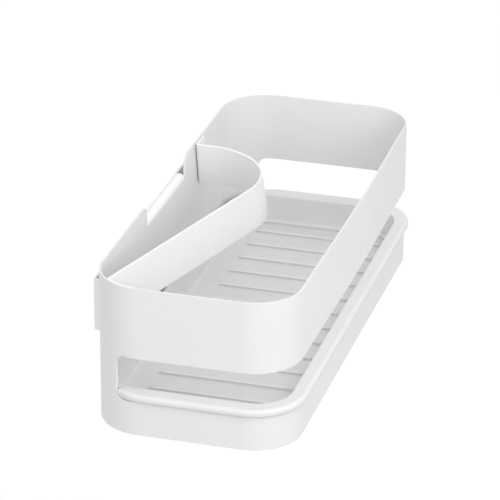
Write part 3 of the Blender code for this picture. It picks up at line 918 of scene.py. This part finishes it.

# %% [markdown]
# ## Moulded plastic
#
# The tray comes out of a mould that is polished at the rim and slightly matt on the floor, so its
# roughness and its fine texture follow the height. Its white follows the height as well: the rim
# and the floor get whites of their own, painted light and shade. The ribs' tops are painted whiter,
# a painted highlight, and their sides a little darker, painted shade: both follow the height above
# the floor, between the ribs' ends, and stay off the tray's walls.

# %% Moulded plastic
PLASTIC_ROUGHNESS, FLOOR_MATTNESS, SHEEN_SPREAD = 0.46, 0.04, 0.08
FLOW_SIZE, SHEEN_SIZE, TEXTURE_SIZE = 28.0, 4.0, 0.5
TEXTURE_DEPTH, RIM_TEXTURE = 0.012, 0.3
RIM_WHITES, FLOOR_WHITES = (0.735, 0.75), (0.76, 0.78)
RIB_HIGHLIGHT_WHITE, RIB_SHADE_GREY, RIB_SHADE_SHARE = 0.84, 0.4, 0.42
RIB_FOOT, RIB_CREST = (0.05, 0.35), (1.2, 1.7)
RIB_END_FADE = 1.0
UNDER_RIM, LOW_ON_WALL = FLOOR_TOP + 4.0, FLOOR_TOP + 3.0

tray_finish, tray_shader, tray_place = new_finish("moulded_white_plastic")
across_tray, up_tray = coordinate(tray_place, "Y"), coordinate(tray_place, "Z")
# Painted light and shade: the rim and the floor get whites of their own by height; the same height
# also makes the floor a little rougher.
matt_and_painted_tone = up_tray.between_mm(BEAD_TOP, FLOOR_TOP)
flow = noise(tray_place, FLOW_SIZE, detail=3.0)
height_toned_skin = matt_and_painted_tone.blend(clouds(flow, *RIM_WHITES), clouds(flow, *FLOOR_WHITES))
foot, crest = (up_tray.between_mm(FLOOR_TOP + low, FLOOR_TOP + high)
               for low, high in (RIB_FOOT, RIB_CREST))
ribbed = (across_tray.between_mm(RIB_FRONT - RIB_END_FADE, RIB_FRONT)
          * across_tray.between_mm(RIB_REAR + RIB_END_FADE, RIB_REAR)
          * up_tray.between_mm(UNDER_RIM, LOW_ON_WALL))
# Painted shade: the ribs' sides are a little darker than the skin around them.
painted_rib_shade = (RIB_SHADE_SHARE * ribbed * (foot - crest)).blend(height_toned_skin, grey(RIB_SHADE_GREY))
sheen = noise(tray_place, SHEEN_SIZE)
texture = noise(tray_place, TEXTURE_SIZE)
# Painted highlight: the ribs' tops are whiter.
drive(tray_shader, "Base Color", (ribbed * crest).blend(painted_rib_shade, grey(RIB_HIGHLIGHT_WHITE)))
drive(tray_shader, "Roughness",
      PLASTIC_ROUGHNESS + FLOOR_MATTNESS * matt_and_painted_tone + SHEEN_SPREAD * (sheen - 0.5))
drive(tray_shader, "Normal",
      bumps(texture * (RIM_TEXTURE + (1 - RIM_TEXTURE) * matt_and_painted_tone), TEXTURE_DEPTH))
tray.data.materials.append(tray_finish)
print("plastic:", tray_finish.name, "with", len(tray_finish.node_tree.nodes), "nodes")

# %% [markdown]
# ## Foam
#
# The pads are closed-cell foam: small pits, darker and smoother than the skin around them. A
# Voronoi pattern gives one pit to a cell.

# %% Foam
CELL_SIZE = 0.7
PIT_GREY, SKIN_GREY = 0.30, 0.46
PIT_EDGE = (0.15, 0.5)
PIT_ROUGHNESS, SKIN_ROUGHER = 0.80, 0.12
PIT_DEPTH = 0.15

foam_finish, foam_shader, foam_place = new_finish("grey_foam")
cells = foam_place.node("ShaderNodeTexVoronoi", Vector=foam_place, Scale=per_metre(CELL_SIZE))
skin = cells.between(*PIT_EDGE)
drive(foam_shader, "Base Color", skin.blend(grey(PIT_GREY), grey(SKIN_GREY)))
drive(foam_shader, "Roughness", PIT_ROUGHNESS + SKIN_ROUGHER * skin)
drive(foam_shader, "Normal", bumps(skin, PIT_DEPTH))
for pad in pads:
    pad.data.materials.append(foam_finish)
print("foam:", foam_finish.name, "on", len(pads), "pads")

# %% [markdown]
# ## Floor and light
#
# A white object on white needs soft light from almost everywhere, with just enough direction to
# part one wall from the next. The surroundings give most of it. A lamp quite near the front corner
# lights the two walls that the camera sees and fades along the front, and a weak low lamp off the
# near end lets the corners that turn away from it grow darker. The floor is a plain pale sheet that
# keeps the basket's soft shadow. It is white to the camera, and darker to the basket, so that it
# throws little light up. From here on lengths are in metres.

# %% Floor and light
FLOOR_HEIGHT = -0.26
FLOOR_HALF = 6.0
PAPER_SIZE, PAPER_WHITES, PAPER_GLOW = 60.0, (0.93, 0.95), 0.10
UNSEEN_PAPER = 0.45
FLOOR_ROUGHNESS = 0.9
OBJECT_MIDDLE = Vector((0.0, -0.07, 0.0))
# Name, azimuth and elevation in degrees, distance and size in metres, and power in watts.
LAMPS = (
    ("corner_lamp", -43.0, 30.0, 0.9, 0.6, 2.75),
    ("end_lamp", -85.0, 12.0, 1.6, 1.0, 3.0),
)
SKY = 0.955


def seen_directly(value):
    """1 where the camera looks at a thing straight, by a mirror or by glass, and otherwise 0."""
    rays = [value.node("ShaderNodeLightPath", output=name)
            for name in ("Is Camera Ray", "Is Glossy Ray", "Is Transmission Ray")]
    return rays[0] + rays[1] + rays[2]


def plain_floor():
    """A large pale plane under the basket."""
    plane = bmesh.new()
    bmesh.ops.create_grid(plane, x_segments=1, y_segments=1, size=FLOOR_HALF)
    bmesh.ops.translate(plane, vec=(0.0, 0.0, FLOOR_HEIGHT), verts=plane.verts)
    mesh = bpy.data.meshes.new("plain_floor")
    plane.to_mesh(mesh)
    plane.free()
    floor = bpy.data.objects.new("plain_floor", mesh)
    bpy.context.collection.objects.link(floor)
    finish, shader, place = new_finish("pale_floor")
    seen = seen_directly(place)
    darker, lighter = PAPER_WHITES
    paper = noise(place, PAPER_SIZE).blend(grey(darker), grey(lighter))
    drive(shader, "Base Color", seen.blend(grey(UNSEEN_PAPER), paper))
    drive(shader, "Emission Color", seen.blend(grey(0.0), grey(PAPER_GLOW)))
    shader.inputs["Emission Strength"].default_value = 1.0
    shader.inputs["Roughness"].default_value = FLOOR_ROUGHNESS
    shader.inputs["Specular IOR Level"].default_value = 0.0
    mesh.materials.append(finish)


def way_from_basket(azimuth, elevation):
    """Direction at two angles; azimuth 0 is the basket's front, -90 degrees its near end."""
    return Vector((math.sin(azimuth) * math.cos(elevation),
                   -math.cos(azimuth) * math.cos(elevation), math.sin(elevation)))


def soft_lamp(name, azimuth, elevation, distance, size, watts):
    """A square area lamp that looks at the basket."""
    way = way_from_basket(math.radians(azimuth), math.radians(elevation))
    lamp = bpy.data.lights.new(name, "AREA")
    lamp.size = size
    lamp.energy = watts
    holder = bpy.data.objects.new(name, lamp)
    holder.location = OBJECT_MIDDLE + way * distance
    holder.rotation_euler = way.to_track_quat("Z", "Y").to_euler()
    bpy.context.collection.objects.link(holder)
    return holder


plain_floor()
lamps = [soft_lamp(*lamp) for lamp in LAMPS]
world = bpy.data.worlds.new("studio")
bpy.context.scene.world = world
world.use_nodes = True
background = world.node_tree.nodes["Background"]
sky_seen = seen_directly(Value(world.node_tree, None))
drive(background, "Color", sky_seen.blend(grey(SKY), grey(1.0)))
background.inputs["Strength"].default_value = 1.0
print("lamps:", [(lamp.name, lamp.data.energy) for lamp in lamps])

# %% [markdown]
# ## Camera
#
# The picture was taken with a long lens from a good way off, over the near end of the basket, which
# is why its long sides stay almost parallel. The camera's place was worked out from the basket's
# edges. Its axes are built from two angles and a very small roll.

# %% Camera
AZIMUTH, ELEVATION, ROLL = math.radians(-74.072), math.radians(24.877), math.radians(0.237)
CAMERA_PLACE = Vector((-1.6937, -0.5456, 0.8079))
LENS, SENSOR = 231.7, 36.0
NEAREST, FARTHEST = 0.05, 20.0


def camera_axes(azimuth, elevation, roll):
    """Right, up and backward directions of the camera."""
    backward = way_from_basket(azimuth, elevation)
    right = Vector((0.0, 0.0, 1.0)).cross(backward).normalized()
    up = backward.cross(right)
    return (right * math.cos(roll) + up * math.sin(roll),
            up * math.cos(roll) - right * math.sin(roll), backward)


camera_data = bpy.data.cameras.new("picture_camera")
camera_data.lens = LENS
camera_data.sensor_width = SENSOR
camera_data.clip_start = NEAREST
camera_data.clip_end = FARTHEST
camera = bpy.data.objects.new("picture_camera", camera_data)
axes = Matrix(camera_axes(AZIMUTH, ELEVATION, ROLL)).transposed()
camera.matrix_world = Matrix.Translation(CAMERA_PLACE) @ axes.to_4x4()
bpy.context.collection.objects.link(camera)
bpy.context.scene.camera = camera
bpy.context.scene.view_settings.view_transform = "Standard"
print("the camera looks along", [round(-value, 3) for value in axes.col[2]])
